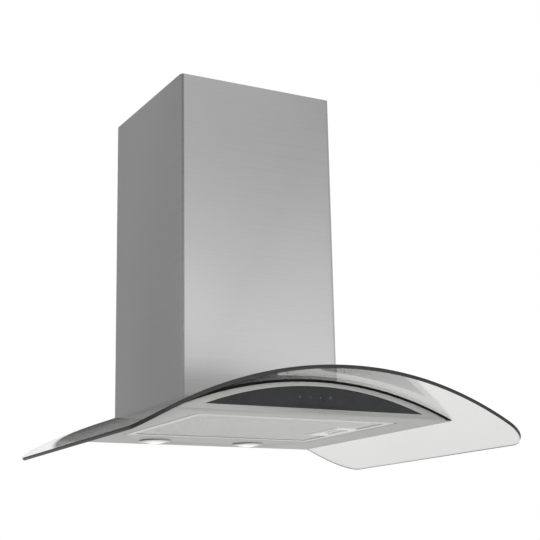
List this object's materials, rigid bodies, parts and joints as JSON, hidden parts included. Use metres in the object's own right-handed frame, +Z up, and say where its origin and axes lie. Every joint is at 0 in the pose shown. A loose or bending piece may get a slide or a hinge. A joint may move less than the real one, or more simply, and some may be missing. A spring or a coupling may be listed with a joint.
{
  "type": "range hood",
  "caption": "Wall range hood with a bent glass canopy on a slim steel body, a telescopic steel chimney, touch glass, lamps, fan with duct spigot and a tilting mesh filter.",
  "frame": {"origin": "on the wall plane, midway between the two hang holes of the back plate", "axes": "+Z up, the wall is the plane Y = 0 with the hood on its -Y side, +X to the right seen from the front"},
  "size_m": [0.6, 0.52, 0.5775],
  "materials": {
    "canopy_glass": "clear tempered float glass, ground edges",
    "gasket_rubber": "matt black extruded rubber",
    "touch_glass": "dark tinted glass with faint touch symbols",
    "galvanised_steel": "zinc coated sheet",
    "brushed_steel": "fine brushed stainless sheet",
    "black_plastic": "moulded, fine texture",
    "circuit_board": "solder mask green",
    "spring_steel": "plated wire",
    "screw_steel": "zinc plated",
    "motor_steel": "machined and plated",
    "white_plastic": "moulded",
    "lamp_bezel": "satin chrome",
    "lamp_lens": "frosted",
    "lamp_housing": "die cast fins",
    "fan_plastic": "moulded",
    "filter_aluminium": "satin folded sheet",
    "filter_mesh": "expanded mesh",
    "latch_plastic": "silver grey moulding"
  },
  "bodies": {
    "hood": {"canopy_glass": "canopy_glass", "glass_gasket": "gasket_rubber", "top_skin": "galvanised_steel", "underside_panel": "brushed_steel", "front_fascia": "brushed_steel", "rear_wall": "galvanised_steel", "touch_panel": "touch_glass", "panel_carrier": "black_plastic", "control_board": "circuit_board", "touch_springs": "spring_steel", "back_plate": "galvanised_steel", "blower_box": "galvanised_steel", "box_screws": "screw_steel", "skin_brackets": "galvanised_steel", "clamp_pads": "gasket_rubber", "glass_clamps": "galvanised_steel", "clamp_screws": "screw_steel", "scroll_right": "black_plastic", "scroll_left": "black_plastic", "motor_body": "motor_steel", "motor_bracket": "galvanised_steel", "motor_screws": "screw_steel", "capacitor": "white_plastic", "outlet_spigot": "black_plastic", "duct_collar": "black_plastic", "spigot_screws": "screw_steel", "flap_pin": "screw_steel", "electronics_box": "black_plastic", "electronics_lid": "black_plastic", "power_board": "circuit_board", "cable_gland": "black_plastic", "lower_chimney": "brushed_steel", "lower_chimney_brackets": "galvanised_steel", "lower_bracket_screws": "screw_steel", "left_lamp_bezel": "lamp_bezel", "left_lamp_lens": "lamp_lens", "left_lamp_body": "lamp_housing", "right_lamp_bezel": "lamp_bezel", "right_lamp_lens": "lamp_lens", "right_lamp_body": "lamp_housing", "lamp_driver": "white_plastic"},
    "upper_cover": {"upper_chimney": "brushed_steel", "upper_chimney_bracket": "galvanised_steel", "upper_bracket_screws": "screw_steel"},
    "fan": {"impeller": "fan_plastic", "motor_shaft": "screw_steel"},
    "front_damper": {"front_flap": "fan_plastic"},
    "rear_damper": {"rear_flap": "fan_plastic"},
    "filter": {"filter_frame": "filter_aluminium", "filter_lower_mesh": "filter_mesh", "filter_core": "filter_mesh", "filter_upper_mesh": "filter_mesh", "filter_tabs": "galvanised_steel", "latch_housing": "latch_plastic"},
    "latch": {"latch_slider": "latch_plastic"}
  },
  "joints": [
    {"name": "chimney_slide", "type": "slide", "parent": "hood", "child": "upper_cover", "axis": [0, 0, 1], "range_m": [0, 0.33]},
    {"name": "filter_tilt", "type": "hinge", "parent": "hood", "child": "filter", "pos_m": [-0.162, -0.243, -0.2388], "axis": [0, 1, 0], "range_deg": [0, 60]},
    {"name": "latch_slide", "type": "slide", "parent": "filter", "child": "latch", "axis": [1, 0, 0], "range_m": [0, 0.0035]},
    {"name": "impeller_spin", "type": "hinge", "parent": "hood", "child": "fan", "pos_m": [0, -0.135, -0.105], "axis": [1, 0, 0], "continuous": true},
    {"name": "front_damper_hinge", "type": "hinge", "parent": "hood", "child": "front_damper", "pos_m": [0, -0.112, 0.08365], "axis": [-1, 0, 0], "range_deg": [0, 75]},
    {"name": "rear_damper_hinge", "type": "hinge", "parent": "hood", "child": "rear_damper", "pos_m": [0, -0.112, 0.08365], "axis": [1, 0, 0], "range_deg": [0, 75]}
  ]
}
